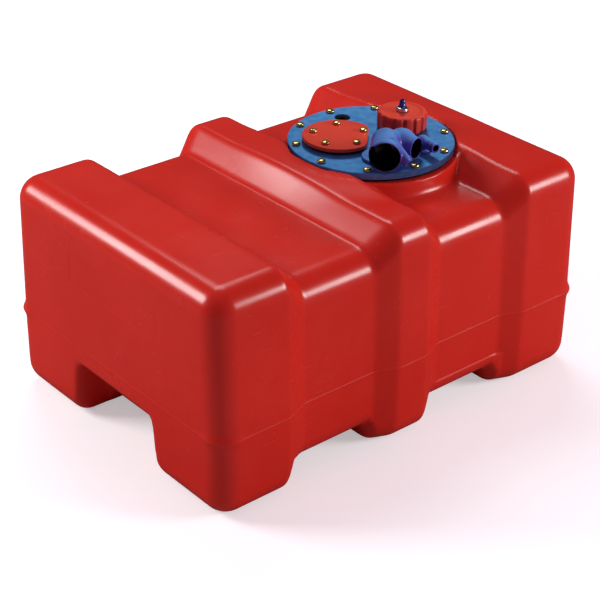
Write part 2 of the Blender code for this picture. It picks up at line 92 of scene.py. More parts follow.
def tank_field(x, y, z, fine=True):
    """Distance to the outside of the moulded body, in mm; negative inside."""
    ax, ay = np.abs(x), np.abs(y)
    up = np.interp(x, *UP).astype(F)
    feet = np.interp(x, *FEET).astype(F)
    low = np.clip((z - PART_Z) / (HEIGHT - 26 - PART_Z), 0, 1)
    yh = HALF_W - RECESS * (1 - up) - DRAFT * low
    if fine:
        # ledge low on the side walls of the second channel
        yh = yh + 1.3 * (1 - step(z, 43.4, 46.6)) * step(x, 40, 47) * (1 - step(x, 139, 146))
    qx = ax - (HALF_L - EDGE_R)
    qy = ay - (yh - EDGE_R)
    zt = CHANNEL_Z + (HEIGHT - CHANNEL_Z) * up
    if fine:
        far = np.sqrt((x - FX) ** 2 + (y - FY) ** 2)
        zt = zt + 3.6 * up * (1 - step(far, 96.0, 150.0))
    zb = UNDER_Z * (1 - feet)
    qz = np.maximum(z - (zt - EDGE_R), (zb + EDGE_R) - z)
    d = np.sqrt(np.maximum(qx, 0) ** 2 + np.maximum(qy, 0) ** 2 + np.maximum(qz, 0) ** 2) + \
        np.minimum(np.maximum(np.maximum(qx, qy), qz), 0) - EDGE_R
    # hand holds and the lengthwise hollow between the feet
    wall = ay - (FOOT_Y + 8.0 * (1 - np.clip(z / POCKET_Z, -1, 1)))
    wall2 = ay - (FOOT_Y + 8.0 * (1 - np.clip(z / UNDER_Z, -1, 1)))
    deep = ((HALF_L - POCKET_D - ax) * 49.0 + 9.0 * (z - POCKET_Z)) / 49.82
    pocket = smax(smax(wall, z - POCKET_Z, 18.0), deep, 12.0)
    hollow = smax(wall2, z - UNDER_Z, 9.0)
    d = smax(d, -smin(pocket, hollow, 4.0), 13.0)
    # boss for the flange, and its seat cut into the bands beside it
    rho = np.sqrt((x - FX) ** 2 + (y - FY) ** 2)
    boss = smax(rho - 95.5 - 0.12 * np.clip(BOSS_Z - z, 0, 20), z - BOSS_Z, 2.4)
    boss = smax(boss, 205.0 - z, 1.0)
    d = smin(d, boss, 17.0)
    d = smax(d, -smax(rho - (92.6 if fine else 94.2), BOSS_Z - z, 1.5), 2.0)
    if fine:
        # parting line: a tall bulge at the corners, a fine flash line on the faces
        corner = step(ax, 214, 240) * step(ay, HALF_W - 36, HALF_W - 12)
        dz = z - PART_Z
        bulge = 2.55 * np.exp(-(dz / 5.2) ** 2) * corner + 0.5 * np.exp(-(dz / 1.1) ** 2) * (1 - 0.5 * corner)
        bulge = bulge * ((ax > 180) | (ay > 140))
        bulge = bulge + 0.2 * (1 - step(dz, -1.2, 1.2)) * (z > 30)
        d = d - bulge
        # bare shallow fields on the end face
        on_end = (x < -HALF_L + 8)
        field = step(y, -87.0, -83.0) * (1 - step(y, 66.0, 70.0)) * step(z, 163.0, 167.0) * (1 - step(z, 199.0, 203.0))
        rr = np.sqrt((y + 5.0) ** 2 + (z - 133.0) ** 2)
        mark = 1 - step(rr, 14.0, 18.0)
        d = d + on_end * (0.45 * field + 0.3 * mark)
    return d


def grid_lines(lo, hi, base, zones):
    """Coordinates from lo to hi, `base` apart, closer inside zones (from, to, spacing)."""
    out, v = [lo], lo
    while v < hi:
        s = base
        for a, b, w in zones:
            if a - base * 0.6 <= v <= b:
                s = min(s, w)
            elif v < a < v + s:
                s = min(s, max(w, a - v))
        v += s
        out.append(v)
    return np.array(out, dtype=np.float64)


def surface_nets(field, xs, ys, zs, project=4):
    """Closed quad mesh of field = 0 on a grid of lines that may be unevenly spaced."""
    nx, ny, nz = len(xs), len(ys), len(zs)
    d = np.empty((nx, ny, nz), F)
    for i0 in range(0, nx, 40):
        i1 = min(nx, i0 + 40)
        X, Y, Z = np.meshgrid(xs[i0:i1].astype(F), ys.astype(F), zs.astype(F), indexing="ij")
        d[i0:i1] = field(X, Y, Z)
    inside = d < 0
    cells = (nx - 1, ny - 1, nz - 1)
    cnt = np.zeros(cells, F)
    pos = [np.zeros(cells, F) for _ in range(3)]
    axes = (xs.astype(F), ys.astype(F), zs.astype(F))
    for ax in range(3):
        o1, o2 = [a for a in range(3) if a != ax]
        lo = [slice(None)] * 3
        hi = [slice(None)] * 3
        lo[ax], hi[ax] = slice(0, -1), slice(1, None)
        a, b = d[tuple(lo)], d[tuple(hi)]
        cross = (a < 0) != (b < 0)
        t = np.where(cross, a / np.where(cross, a - b, 1), 0)
        shp = [1, 1, 1]
        shp[ax] = -1
        base = axes[ax][:-1].reshape(shp)
        span = np.diff(axes[ax]).reshape(shp)
        coord = [None] * 3
        coord[ax] = base + span * t
        for o in (o1, o2):
            s2 = [1, 1, 1]
            s2[o] = -1
            coord[o] = np.broadcast_to(axes[o].reshape(s2), cross.shape)
        for u in (0, 1):
            for v in (0, 1):
                sl = [slice(None)] * 3
                sl[o1] = slice(u, u + cells[o1])
                sl[o2] = slice(v, v + cells[o2])
                sl = tuple(sl)
                c = cross[sl]
                cnt += c
                for k in range(3):
                    pos[k] += np.where(c, coord[k][sl], 0)
    has = cnt > 0
    index = -np.ones(cells, np.int64)
    index[has] = np.arange(int(has.sum()))
    v = np.stack([p[has] / cnt[has] for p in pos], 1).astype(np.float64)
    quads = []
    for ax in range(3):
        o1, o2 = [a for a in range(3) if a != ax]
        lo = [slice(None)] * 3
        hi = [slice(None)] * 3
        lo[ax], hi[ax] = slice(0, -1), slice(1, None)
        a, b = inside[tuple(lo)], inside[tuple(hi)]
        sl = [slice(None)] * 3
        sl[o1], sl[o2] = slice(1, -1), slice(1, -1)
        a, b = a[tuple(sl)], b[tuple(sl)]
        for flip, mask in ((False, a & ~b), (True, ~a & b)):
            ii = np.array(np.nonzero(mask))
            base = [None] * 3
            base[ax] = ii[ax]
            base[o1] = ii[o1] + 1
            base[o2] = ii[o2] + 1
            got = []
            for u, w in ((-1, -1), (0, -1), (0, 0), (-1, 0)):
                c = [None] * 3
                c[ax], c[o1], c[o2] = base[ax], base[o1] + u, base[o2] + w
                got.append(index[tuple(c)])
            q = np.stack(got, 1)
            turn = flip if ax != 1 else not flip
            quads.append(q[:, ::-1] if turn else q)
    quads = np.concatenate(quads)
    for _ in range(project):
        g, val = gradient(field, v)
        v -= g * (val / np.maximum((g * g).sum(1), 0.05))[:, None]
    g, _ = gradient(field, v)
    g /= np.maximum(np.linalg.norm(g, axis=1), 1e-9)[:, None]
    return v, quads, g


def gradient(field, v, h=0.05):
    val = field(*v.T)
    g = np.stack([field(*(v + np.eye(3)[k] * h).T) - field(*(v - np.eye(3)[k] * h).T) for k in range(3)], 1) / (2 * h)
    return g, val


def mesh_of(name, v, faces, normals=None):
    me = bpy.data.meshes.new(name)
    me.vertices.add(len(v))
    me.vertices.foreach_set("co", (np.asarray(v) * MM).astype(F).ravel())
    me.loops.add(faces.size)
    me.loops.foreach_set("vertex_index", faces.astype(np.int32).ravel())
    me.polygons.add(len(faces))
    me.polygons.foreach_set("loop_start", np.arange(0, faces.size, faces.shape[1], dtype=np.int32))
    me.update(calc_edges=True)
    me.validate()
    me.shade_smooth()
    if normals is not None:
        me.normals_split_custom_set_from_vertices(normals.astype(F))
    return me


def piece(name, me, body, mats=(), replaces=()):
    ob = bpy.data.objects.new(name, me)
    bpy.context.scene.collection.objects.link(ob)
    if mats:
        me.materials.clear()
        for m in mats:
            me.materials.append(m)
    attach(ob, body)
    if replaces:
        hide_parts(*replaces)
    return ob


def applied(ob):
    """The object's mesh with its modifiers applied; the object itself is removed."""
    dg = bpy.context.evaluated_depsgraph_get()
    me = bpy.data.meshes.new_from_object(ob.evaluated_get(dg), depsgraph=dg)
    bpy.data.objects.remove(ob)
    return me


# ------------------------------------------------------------------ tank
def build_tank():
    fx = [(-253, -222, 2.75), (222, 253, 2.75), (-172, -130, 3.4), (-52, -12, 3.4), (12, 52, 3.4), (128, 172, 3.4),
          (-222, -204, 3.2), (204, 222, 3.2), (172, 204, 3.8)]
    fy = [(-183, -146, 2.75), (146, 183, 2.75), (-82, -56, 3.0), (56, 82, 3.0), (-89, -81, 1.4), (64, 72, 1.4), (-24, 14, 2.0), (-108, -88, 3.8),
          (82, 108, 3.8)]
    fz = [(-1, 32, 2.8), (42.5, 47.5, 1.3), (62, 78, 3.0), (83, 88, 2.2), (88, 96, 0.75), (96, 101, 2.2), (114, 152, 2.0), (161.5, 168.5, 1.4),
          (197.5, 204.5, 1.5), (218, 251, 2.4)]
    xs = grid_lines(-256.0, 256.0, 6.2, fx)
    ys = grid_lines(-185.0, 185.0, 6.2, fy)
    zs = grid_lines(-3.0, 252.0, 6.2, fz)
    v, q, n = surface_nets(tank_field, xs, ys, zs)
    outer = bpy.data.objects.new("outer", mesh_of("outer", v, q))

    def cavity_field(x, y, z):
        d = tank_field(x, y, z, fine=False) + WALL
        rho = np.sqrt((x - FX) ** 2 + (y - FY) ** 2)
        return smin(d, smax(rho - OPEN_R, 225.0 - z, 1.0), 1.0)

    cx = grid_lines(-250.0, 250.0, 11.0, [(-247, -220, 5.0), (220, 247, 5.0), (10, 185, 5.5), (-170, -130, 6), (-55, -10, 6)])
    cy = grid_lines(-180.0, 180.0, 11.0, [(-176, -145, 5.0), (145, 176, 5.0), (-90, 90, 6.0)])
    cz = np.concatenate([grid_lines(0.0, 215.0, 9.0, [(2, 30, 5.0)]), grid_lines(220.0, 262.0, 4.5, [])])

    def capped(x, y, z):
        return smax(cavity_field(x, y, z), z - 258.0, 0.5)

    v2, q2, _ = surface_nets(capped, cx, cy, cz)
    inner = bpy.data.objects.new("inner", mesh_of("inner", v2, q2))
    bpy.context.scene.collection.objects.link(outer)
    bpy.context.scene.collection.objects.link(inner)
    cut = outer.modifiers.new("hollow", "BOOLEAN")
    cut.operation, cut.solver, cut.object = "DIFFERENCE", "MANIFOLD", inner
    me = applied(outer)
    bpy.data.objects.remove(inner)
    me.name = "tank_skin"
    nv = len(me.vertices)
    co = np.empty(nv * 3, F)
    me.vertices.foreach_get("co", co)
    co = co.reshape(-1, 3).astype(np.float64) / MM
    g, val = gradient(tank_field, co)
    g /= np.maximum(np.linalg.norm(g, axis=1), 1e-9)[:, None]
    on_outside = np.abs(val) < 0.6
    auto = np.empty(nv * 3, F)
    me.vertex_normals.foreach_get("vector", auto)
    auto = auto.reshape(-1, 3)
    normals = np.where(on_outside[:, None], g, auto)
    me.shade_smooth()
    me.normals_split_custom_set_from_vertices(normals.astype(F))
    add_edge(me, lambda x, y, z: tank_field(x, y, z), 3.0)
    print("tank skin:", len(me.vertices), "points,", sum(len(p.vertices) - 2 for p in me.polygons), "triangles")
    return me


# ------------------------------------------------------------------ fittings
def rod(x, y, z, a, b, ra, rb=None, rim=0.8):
    """Distance to a round bar or cone from a to b with flat ends and a small rim radius."""
    a, b = np.asarray(a, float), np.asarray(b, float)
    rb = ra if rb is None else rb
    length = np.linalg.norm(b - a)
    n = (b - a) / length
    px, py, pz = x - a[0], y - a[1], z - a[2]
    s = px * n[0] + py * n[1] + pz * n[2]
    radial = np.sqrt(np.maximum(px * px + py * py + pz * pz - s * s, 0))
    r = ra + (rb - ra) * np.clip(s / length, 0, 1)
    return smax(smax(radial - r, s - length, rim), -s, rim)


def capsule(x, y, z, c, z0, z1, r):
    h = z - np.clip(z, z0, z1)
    return np.sqrt((x - c[0]) ** 2 + (y - c[1]) ** 2 + h * h) - r


def disc(x, y, z, c, r, z0, z1, k):
    rho = np.sqrt((x - c[0]) ** 2 + (y - c[1]) ** 2)
    return smax(smax(rho - r, z - z1, k), z0 - z, 0.4)


FILL, FILL_Z, FILL_MOUTH, LEG_R = (73.9, -47.1), 271.0, (46.4, -75.8), 14.9
FOOT = (70.5, -44.2)           # the elbow's collar and spigot; its leg leans a little from here
BREATH, BREATH_MOUTH, BREATH_Z, KNOB_R = (92.2, -52.3), (96.5, -70.8), 265.4, 16.6
VENT_A, VENT_B = (61.5, -67.2, 283.6), (66.0, -91.0, 264.5)
RET, RET_MOUTH, RET_Z = (118.6, -57.5), (115.5, -80.3), 263.5
SEAT = FLANGE_HI + 0.3


def between(a, b, t):
    a, b = np.asarray(a, float), np.asarray(b, float)
    return a + (b - a) / np.linalg.norm(b - a) * t


def filler_bores(x, y, z):
    knee, mouth = (*FILL, FILL_Z), (*FILL_MOUTH, FILL_Z)
    length, vl = math.dist(knee, mouth), math.dist(VENT_A, VENT_B)
    b0, b1 = (*BREATH, BREATH_Z), (*BREATH_MOUTH, BREATH_Z)
    cut = smax(capsule(x, y, z, FILL, 240, FILL_Z + 0.5, 11.9), 252.6 - z, 0.5)
    cut = smin(cut, disc(x, y, z, FOOT, 12.2, 200.0, 255.0, 1.0), 1.0)
    cut = smin(cut, rod(x, y, z, between(knee, mouth, -2), between(knee, mouth, length - 13), 11.9, 15.2), 2.0)
    cut = smin(cut, rod(x, y, z, between(knee, mouth, length - 14), between(knee, mouth, length + 10), 15.1, 16.1), 1.5)
    cut = smin(cut, rod(x, y, z, VENT_A, between(VENT_A, VENT_B, vl + 8), 3.8), 0.6)
    cut = smin(cut, rod(x, y, z, between(b0, b1, -4), between(b0, b1, 27.0), 9.6, 10.9), 0.8)
    return smin(cut, rod(x, y, z, b0, (*FILL, BREATH_Z), 7.4), 0.8)


def filler_field(x, y, z):
    knee, mouth = (*FILL, FILL_Z), (*FILL_MOUTH, FILL_Z)
    length = math.dist(knee, mouth)
    d = capsule(x, y, z, FILL, 240, FILL_Z, LEG_R)
    d = smin(d, rod(x, y, z, knee, between(knee, mouth, length - 13), LEG_R - 0.2, 16.8, 2.0), 5.0)
    d = smin(d, rod(x, y, z, between(knee, mouth, length - 15), mouth, 16.8, 17.0, 0.9), 2.0)
    d = smin(d, rod(x, y, z, between(knee, mouth, length - 4.4), between(knee, mouth, length - 1.6), 17.5, rim=1.6), 1.5)
    knob = capsule(x, y, z, BREATH, 240, BREATH_Z + 0.6, KNOB_R)
    b0, b1 = (*BREATH, BREATH_Z), (*BREATH_MOUTH, BREATH_Z)
    knob = smin(knob, rod(x, y, z, b0, b1, 12.4, 11.9), 5.0)
    d = smin(d, knob, 5.5)
    d = smax(d, SEAT + 0.4 - z, 0.8)
    d = smin(d, disc(x, y, z, FOOT, 20.3, SEAT, SEAT + 3.2, 1.4), 3.0)
    d = smax(d, SEAT - z, 0.3)
    vl = math.dist(VENT_A, VENT_B)
    d = smin(d, rod(x, y, z, VENT_A, VENT_B, 5.5, 5.3, 0.8), 3.5)
    d = smin(d, rod(x, y, z, between(VENT_A, VENT_B, vl - 5.2), between(VENT_A, VENT_B, vl - 2.6), 5.7, rim=1.4), 1.2)
    d = smin(d, disc(x, y, z, FOOT, 14.9, 231.0, SEAT + 2, 0.8), 0.4)
    return smax(d, -filler_bores(x, y, z), 0.8)


def return_field(x, y, z):
    knee, mouth = (*RET, RET_Z), (*RET_MOUTH, RET_Z)
    length = math.dist(knee, mouth)
    d = capsule(x, y, z, RET, 240, RET_Z, 6.5)
    d = smin(d, rod(x, y, z, knee, mouth, 5.6, 5.2), 3.0)
    for t in (length - 4.6, length - 10.4):
        d = smin(d, rod(x, y, z, between(knee, mouth, t), between(knee, mouth, t + 2.4), 6.1, 5.3, rim=0.8), 0.8)
    d = smax(d, SEAT + 0.3 - z, 0.6)
    d = smin(d, disc(x, y, z, RET, 9.0, SEAT, SEAT + 2.4, 1.2), 2.4)
    d = smax(d, SEAT - z, 0.4)
    d = smin(d, disc(x, y, z, RET, 6.0, 226.0, SEAT + 2, 0.5), 0.3)
    cut = capsule(x, y, z, RET, 200, RET_Z, 3.5)
    cut = smin(cut, rod(x, y, z, knee, between(knee, mouth, length + 8), 3.5), 0.6)
    return smax(d, -cut, 0.6)


def field_mesh(name, field, lo, hi, spacing):
    xs, ys, zs = (np.arange(a, b + spacing, spacing) + 0.013 for a, b in zip(lo, hi))
    v, q, n = surface_nets(field, xs, ys, zs)
    me = mesh_of(name, v, q, n)
    add_edge(me, field, 1.2)
    return me


def add_edge(me, field, h):
    """Point attribute `edge`: 1 on convex edges, 0 on flats, -1 in hollows."""
    co = np.empty(len(me.vertices) * 3, F)
    me.vertices.foreach_get("co", co)
    co = co.reshape(-1, 3).astype(np.float64) / MM
    lap = -6 * field(*co.T)
    for k in range(3):
        for s in (-h, h):
            lap = lap + field(*(co + np.eye(3)[k] * s).T)
    at = me.attributes.new("edge", "FLOAT", "POINT")
    at.data.foreach_set("value", np.clip(lap / h / h * 8.0, -1, 1).astype(F))


def lathe(profile, n, closed=False, grooves=None):
    """Turn (radius, z) points, in mm, about Z; grooves(k, angle) gives how far ring k is cut in."""
    bm = bmesh.new()
    rings = []
    for k, (r, z) in enumerate(profile):
        if r < 1e-9:
            rings.append([bm.verts.new((0, 0, z * MM))])
            continue
        ring = []
        for i in range(n):
            t = 2 * math.pi * i / n
            rr = r - (grooves(k, t) if grooves else 0.0)
            ring.append(bm.verts.new((rr * math.cos(t) * MM, rr * math.sin(t) * MM, z * MM)))
        rings.append(ring)
    pairs = list(zip(rings, rings[1:])) + ([(rings[-1], rings[0])] if closed else [])
    for a, b in pairs:
        for i in range(n):
            j = (i + 1) % n
            if len(a) == 1:
                bm.faces.new((a[0], b[j], b[i]))
            elif len(b) == 1:
                bm.faces.new((a[i], a[j], b[0]))
            else:
                bm.faces.new((a[i], a[j], b[j], b[i]))
    bmesh.ops.recalc_face_normals(bm, faces=bm.faces)
    return bm


def fillet(r0, z0, r1, z1, n=4, convex=True):
    """Quarter round from (r0, z0) to (r1, z1); the first leaves vertically."""
    out = []
    for k in range(n + 1):
        a = math.pi / 2 * k / n
        if convex:
            out.append((r1 + (r0 - r1) * math.cos(a), z0 + (z1 - z0) * math.sin(a)))
        else:
            out.append((r0 + (r1 - r0) * (1 - math.cos(a)), z0 + (z1 - z0) * math.sin(a)))
    return out


def to_mesh(bm, name, loc=(0, 0, 0), angle=38.0):
    bmesh.ops.translate(bm, verts=bm.verts, vec=Vector(loc) * MM)
    me = bpy.data.meshes.new(name)
    bm.to_mesh(me)
    bm.free()
    me.shade_smooth()
    me.set_sharp_from_angle(angle=math.radians(angle))
    return me


def carve(me, cutters, angle=38.0):
    """Cuts closed meshes out of a closed mesh."""
    base = bpy.data.objects.new("base", me)
    bpy.context.scene.collection.objects.link(base)
    tools = []
    for c in cutters:
        t = bpy.data.objects.new("tool", c)
        bpy.context.scene.collection.objects.link(t)
        tools.append(t)
        m = base.modifiers.new("cut", "BOOLEAN")
        m.operation, m.solver, m.object = "DIFFERENCE", "MANIFOLD", t
    out = applied(base)
    for t in tools:
        bpy.data.objects.remove(t)
    out.shade_smooth()
    out.set_sharp_from_angle(angle=math.radians(angle))
    return out


def pin(points, r, z0, z1, n=24):
    """Round cutters at the given places, as one mesh."""
    bm = bmesh.new()
    for x, y in points:
        lo = [bm.verts.new(((x + r * math.cos(2 * math.pi * i / n)) * MM, (y + r * math.sin(2 * math.pi * i / n)) * MM, z0 * MM))
              for i in range(n)]
        hi = [bm.verts.new((v.co.x, v.co.y, z1 * MM)) for v in lo]
        bm.faces.new(list(reversed(lo)))
        bm.faces.new(hi)
        for i in range(n):
            j = (i + 1) % n
            bm.faces.new((lo[i], lo[j], hi[j], hi[i]))
    me = bpy.data.meshes.new("pins")
    bm.to_mesh(me)
    bm.free()
    return me


def ring_points(n, r, a0, c=(FX, FY)):
    return [(c[0] + r * math.cos(math.radians(a0 + 360.0 * k / n)), c[1] + r * math.sin(math.radians(a0 + 360.0 * k / n)))
            for k in range(n)]


SCREWS = ring_points(10, 83.0, 9.0)
COVER, CAP, PORT = (65.4, 16.5), (143.0, 1.0), (111.0, 62.5)
COVER_SCREWS = ring_points(5, 28.5, 54.0, COVER)
CAP_LO, CAP_HI, NECK_HI = 254.2, 273.0, 265.5


def build_flange():
    prof = [(0, FLANGE_LO), (89.7, FLANGE_LO), (90.3, FLANGE_LO + 0.35)] + fillet(FLANGE_R, FLANGE_HI - 1.5, 89.0, FLANGE_HI, 5) + \
        [(86.5, FLANGE_HI), (60, FLANGE_HI), (30, FLANGE_HI), (0, FLANGE_HI)]
    plate = to_mesh(lathe(prof, 192), "flange_face", (FX, FY, 0))
    neck = lathe([(0, FLANGE_LO + 2), (25.2, FLANGE_LO + 2), (25.2, FLANGE_HI + 0.01)] +
                 fillet(24.6, FLANGE_HI + 0.1, 22.0, FLANGE_HI + 1.7, 5, False) +
                 [(22.0, NECK_HI - 0.8), (21.7, NECK_HI - 0.2), (21.2, NECK_HI), (0, NECK_HI)], 96)
    base = bpy.data.objects.new("base", plate)
    bpy.context.scene.collection.objects.link(base)
    add = bpy.data.objects.new("neck", to_mesh(neck, "neck", (*CAP, 0)))
    bpy.context.scene.collection.objects.link(add)
    m = base.modifiers.new("join", "BOOLEAN")
    m.operation, m.solver, m.object = "UNION", "MANIFOLD", add
    me = applied(base)
    bpy.data.objects.remove(add)
    port = lathe([(0, 230), (5.5, 230), (5.5, 248.0), (8.6, 248.0), (8.6, FLANGE_HI - 0.7), (9.5, FLANGE_HI + 0.3), (9.5, 280), (0, 280)], 48)
    return carve(me, [pin([CAP], 16.0, 230, 280, 64), pin([COVER], 22.0, 230, 280, 64), to_mesh(port, "port", (*PORT, 0)),
                      pin([FOOT], 15.3, 230, 280, 64), pin([RET], 6.3, 230, 280, 32), pin(SCREWS, 3.0, 230, 280),
                      pin(COVER_SCREWS, 2.4, 230, 280)])


def build_cover(r, flat, z0, z1, edge, hole, n=150):
    """Disc with one straight side and rounded corners."""
    face = math.radians(-45.0)
    bm = bmesh.new()
    pts = []
    for i in range(n):
        t = 2 * math.pi * i / n
        d = t - face
        rr = r
        c = math.cos(d)
        if c > 0:
            rr = min(rr, flat / c)
        # soften the two corners
        a = math.acos(flat / r)
        off = abs(abs((d + math.pi) % (2 * math.pi) - math.pi) - a)
        rr -= 1.1 * math.exp(-(off / 0.075) ** 2)
        pts.append((math.cos(t), math.sin(t), rr))
    rings = []
    for s, z in [(0.35, z0), (0.0, z0 + 0.3), (0.0, z1 - edge)] + \
            [(edge * (1 - math.cos(math.pi / 2 * k / 4)), z1 - edge + edge * math.sin(math.pi / 2 * k / 4)) for k in range(1, 5)]:
        rings.append([bm.verts.new(((COVER[0] + (rr - s) * cx) * MM, (COVER[1] + (rr - s) * cy) * MM, z * MM)) for cx, cy, rr in pts])
    for p, q in zip(rings, rings[1:]):
        for i in range(n):
            j = (i + 1) % n
            bm.faces.new((p[i], p[j], q[j], q[i]))
    bm.faces.new(list(reversed(rings[0])))
    bm.faces.new(rings[-1])
    me = to_mesh(bm, "cover")
    cutters = [pin(COVER_SCREWS, 2.5, z0 - 5, z1 + 5)]
    if hole:
        cutters.append(pin([COVER], hole, z0 - 5, z1 + 5, 64))
    return carve(me, cutters)


def build_cap():
    depth = []

    def grooves(k, t):
        p = (t * 15 / (2 * math.pi)) % 1.0
        g = max(0.0, 1 - (abs(p - 4 / 6) / 0.24) ** 2.2)
        return depth[k] * g

    prof = [(26.3, CAP_LO), (26.9, CAP_LO + 0.35), (27.2, CAP_LO + 1.0), (27.35, CAP_LO + 4.0), (27.4, CAP_HI - 5.0), (27.4, CAP_HI - 3.4)]
    depth = [2.0, 2.2, 2.3, 2.3, 2.2, 2.1]
    for k in range(1, 7):
        a = math.pi / 2 * k / 6
        prof.append((24.4 + 3.0 * math.cos(a), CAP_HI - 3.0 + 3.0 * math.sin(a)))
        depth.append(2.0 * (1 - k / 6) ** 1.3)
    prof += [(22.6, CAP_HI), (21.9, CAP_HI - 0.1), (21.2, CAP_HI - 0.55), (20.4, CAP_HI - 0.6), (11.0, CAP_HI - 0.6), (10.2, CAP_HI - 0.5),
             (9.6, CAP_HI - 0.05), (9.0, CAP_HI), (5.6, CAP_HI), (5.2, CAP_HI - 0.4), (5.2, CAP_HI - 3.6), (22.7, CAP_HI - 3.6), (22.7, CAP_LO + 0.8),
             (23.4, CAP_LO)]
    depth += [0.0] * 14
    bm = lathe(prof, 15 * 24, True, grooves)
    return to_mesh(bm, "cap", (*CAP, 0), 50)


def build_nipple():
    top = CAP_HI
    prof = [(2.0, 230.2), (2.4, 230), (4.0, 230), (4.4, 230.5), (4.4, 245.6), (13.0, 247.5), (13.5, 248.2), (13.5, NECK_HI + 1.8),
            (21.4, NECK_HI + 1.8), (21.4, top - 3.9), (4.6, top - 3.9), (4.6, top + 2.7), (4.3, top + 3.4), (3.4, top + 4.3), (3.2, top + 4.8),
            (3.2, top + 5.6), (3.85, top + 6.1), (3.9, top + 6.4), (3.0, top + 8.4), (3.5, top + 8.8), (3.55, top + 9.2), (2.8, top + 11.7),
            (2.4, top + 12.2), (2.0, top + 12.2)]
    return to_mesh(lathe(prof, 48, True), "nipple", (*CAP, 0), 30)


def build_collar():
    z = CAP_HI + 0.3
    prof = [(4.9, z), (6.8, z), (7.0, z + 0.25), (7.0, z + 2.3), (6.85, z + 2.7), (6.2, z + 3.3), (5.6, z + 3.65), (4.9, z + 3.7)]
    return to_mesh(lathe(prof, 48, True), "collar", (*CAP, 0), 30)


def build_screw(head_r, head_h, shank_r, length, slot):
    prof = [(0, -length), (shank_r * 0.55, -length), (shank_r, -length + 1.6)]
    pitch, z = 1.0, -length + 2.0
    while z < -1.6:
        prof += [(shank_r, z), (shank_r * 0.86, z + pitch * 0.5)]
        z += pitch
    prof += [(shank_r * 0.95, -0.9), (shank_r * 0.95, 0), (head_r - 0.3, 0), (head_r - 0.05, 0.25), (head_r, head_h * 0.34)]
    for k in range(1, 7):
        a = math.pi / 2 * k / 6
        prof.append((head_r * (1 - 0.62 * (1 - math.cos(a))), head_h * (0.34 + 0.61 * math.sin(a))))
    prof += [(head_r * 0.2, head_h), (0, head_h)]
    me = to_mesh(lathe(prof, 40), "screw", angle=45)
    bm = bmesh.new()
    bmesh.ops.create_cube(bm, size=1.0)
    bmesh.ops.scale(bm, vec=Vector((30, slot, 3.2)) * MM, verts=bm.verts)
    bmesh.ops.translate(bm, vec=Vector((0, 0, head_h + 0.15)) * MM, verts=bm.verts)
    return carve(me, [to_mesh(bm, "slot")], 45)


# ------------------------------------------------------------------ materials
class Finish:
    """A moulded or metal finish built from object-space noise."""

    def __init__(self, name, rough=0.3, metal=0.0, specular=0.5):
        self.m = bpy.data.materials.new(name)
        self.m.use_nodes = True
        self.t = self.m.node_tree
        self.b = self.t.nodes["Principled BSDF"]
        self.b.inputs["Metallic"].default_value = metal
        self.b.inputs["Roughness"].default_value = rough
        self.b.inputs["Specular IOR Level"].default_value = specular
        tc = self.t.nodes.new("ShaderNodeTexCoord")
        self.where = tc.outputs["Object"]
        self.normal = tc.outputs["Normal"]
        self.height = None

    def put(self, socket, value):
        if isinstance(value, bpy.types.NodeSocket):
            self.t.links.new(value, socket)
        elif isinstance(value, tuple) and len(value) == 3 and socket.type == "RGBA":
            socket.default_value = (*value, 1)
        else:
            socket.default_value = value

    def noise(self, scale, detail=2.0, rough=0.5, stretch=(1, 1, 1), turn=(0, 0, 0), distort=0.0):
        mp = self.t.nodes.new("ShaderNodeMapping")
        mp.inputs["Scale"].default_value = stretch
        mp.inputs["Rotation"].default_value = turn
        self.t.links.new(self.where, mp.inputs["Vector"])
        n = self.t.nodes.new("ShaderNodeTexNoise")
        n.inputs["Scale"].default_value = scale
        n.inputs["Detail"].default_value = detail
        n.inputs["Roughness"].default_value = rough
        n.inputs["Distortion"].default_value = distort
        self.t.links.new(mp.outputs["Vector"], n.inputs["Vector"])
        return n.outputs["Fac"]

    def cells(self, scale):
        n = self.t.nodes.new("ShaderNodeTexVoronoi")
        n.inputs["Scale"].default_value = scale
        self.t.links.new(self.where, n.inputs["Vector"])
        return n.outputs["Distance"]

    def band(self, value, a, b, lo=0.0, hi=1.0):
        r = self.t.nodes.new("ShaderNodeMapRange")
        r.interpolation_type = "SMOOTHSTEP"
        self.put(r.inputs["Value"], value)
        for k, v in (("From Min", a), ("From Max", b), ("To Min", lo), ("To Max", hi)):
            r.inputs[k].default_value = v
        return r.outputs["Result"]

    def math(self, op, a, b=0.0):
        n = self.t.nodes.new("ShaderNodeMath")
        n.operation = op
        self.put(n.inputs[0], a)
        self.put(n.inputs[1], b)
        return n.outputs[0]

    def mix(self, fac, a, b):
        n = self.t.nodes.new("ShaderNodeMix")
        n.data_type = "RGBA"
        self.put(n.inputs["Factor"], fac)
        self.put(n.inputs["A"], a)
        self.put(n.inputs["B"], b)
        return n.outputs["Result"]

    def split(self, vector):
        n = self.t.nodes.new("ShaderNodeSeparateXYZ")
        self.t.links.new(vector, n.inputs[0])
        return n.outputs

    def attribute(self, name):
        n = self.t.nodes.new("ShaderNodeAttribute")
        n.attribute_name = name
        return n.outputs["Fac"]

    def bump(self, height, mm):
        n = self.t.nodes.new("ShaderNodeBump")
        n.inputs["Strength"].default_value = 1.0
        n.inputs["Distance"].default_value = mm * MM
        self.t.links.new(height, n.inputs["Height"])
        if self.height is not None:
            self.t.links.new(self.height, n.inputs["Normal"])
        self.height = n.outputs["Normal"]

    def done(self, color, rough=None):
        self.put(self.b.inputs["Base Color"], color)
        if rough is not None:
            self.put(self.b.inputs["Roughness"], rough)
        if self.height is not None:
            self.t.links.new(self.height, self.b.inputs["Normal"])
        return self.m


